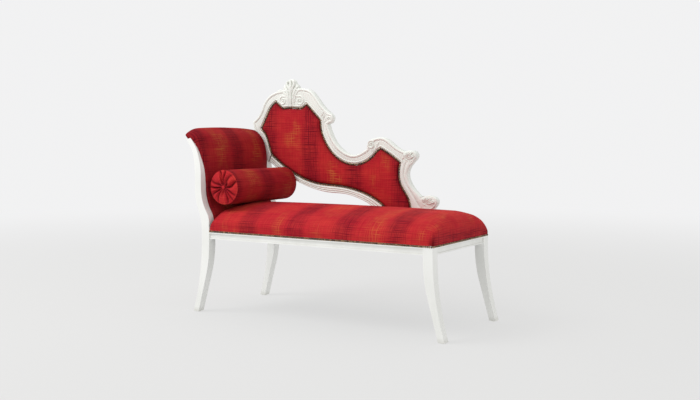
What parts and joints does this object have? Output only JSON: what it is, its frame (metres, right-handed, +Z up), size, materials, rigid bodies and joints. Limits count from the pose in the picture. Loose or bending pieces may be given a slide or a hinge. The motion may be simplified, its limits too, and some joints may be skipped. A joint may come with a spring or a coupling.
{
  "type": "recamier",
  "caption": "One-armed upholstered day bed with a scrolled arm, a carved stepped back on one side, sabre legs, nailed covers and a loose round bolster.",
  "frame": {"origin": "on the floor under the middle of the whole piece", "axes": "+Z up, +X along the seat from the head end with the arm to the foot end, -Y towards the front, +Y towards the carved back"},
  "size_m": [1.4103, 0.582, 1.1547],
  "materials": {
    "paint": "satin",
    "bare_wood": "matte",
    "board": "matte",
    "red_fabric": "matte",
    "foam": "matte",
    "webbing": "matte",
    "hessian": "matte",
    "dust_cloth": "matte",
    "bronze": "satin",
    "steel": "satin",
    "glide": "matte"
  },
  "bodies": {
    "frame": {"scroll_post_front": "paint", "scroll_post_back": "paint", "leg_front_right": "paint", "leg_back_right": "paint", "seat_rail_front": "paint", "seat_rail_back": "paint", "seat_rail_head": "paint", "seat_rail_foot": "paint", "seat_cross_brace": "bare_wood", "corner_blocks": "bare_wood", "corner_block_screws": "steel", "rail_dowels": "bare_wood", "foot_glides": "glide", "seat_webbing": "webbing", "seat_hessian": "hessian", "dust_cover": "dust_cloth", "seat_foam": "foam", "seat_cover": "red_fabric", "seat_nails": "bronze", "arm_top_rail": "bare_wood", "arm_lower_rail": "bare_wood", "arm_board": "board", "arm_foam": "foam", "arm_cover": "red_fabric", "arm_outside_cover": "red_fabric", "back_left_upright": "paint", "back_crest_rail": "paint", "back_dip_rail": "paint", "back_peak_rail": "paint", "back_end_rail": "paint", "back_lower_rail": "paint", "back_foot_rail": "paint", "crest_carving": "paint", "shoulder_carving": "paint", "peak_leaf_carving": "paint", "knob_carving": "paint", "end_carving": "paint", "back_panel_board": "board", "back_foam": "foam", "back_cover": "red_fabric", "back_outside_cover": "red_fabric", "back_nails": "bronze", "back_frame_dowels": "bare_wood", "back_frame_screws": "steel"},
    "bolster": {"bolster_filling": "foam", "bolster_cover": "red_fabric", "bolster_end_front": "red_fabric", "bolster_end_back": "red_fabric", "bolster_button_front": "red_fabric", "bolster_button_back": "red_fabric"}
  },
  "joints": [
    {"name": "bolster_lift", "type": "slide", "parent": "frame", "child": "bolster", "axis": [0, 0, 1], "range_m": [0, 0.4]}
  ]
}
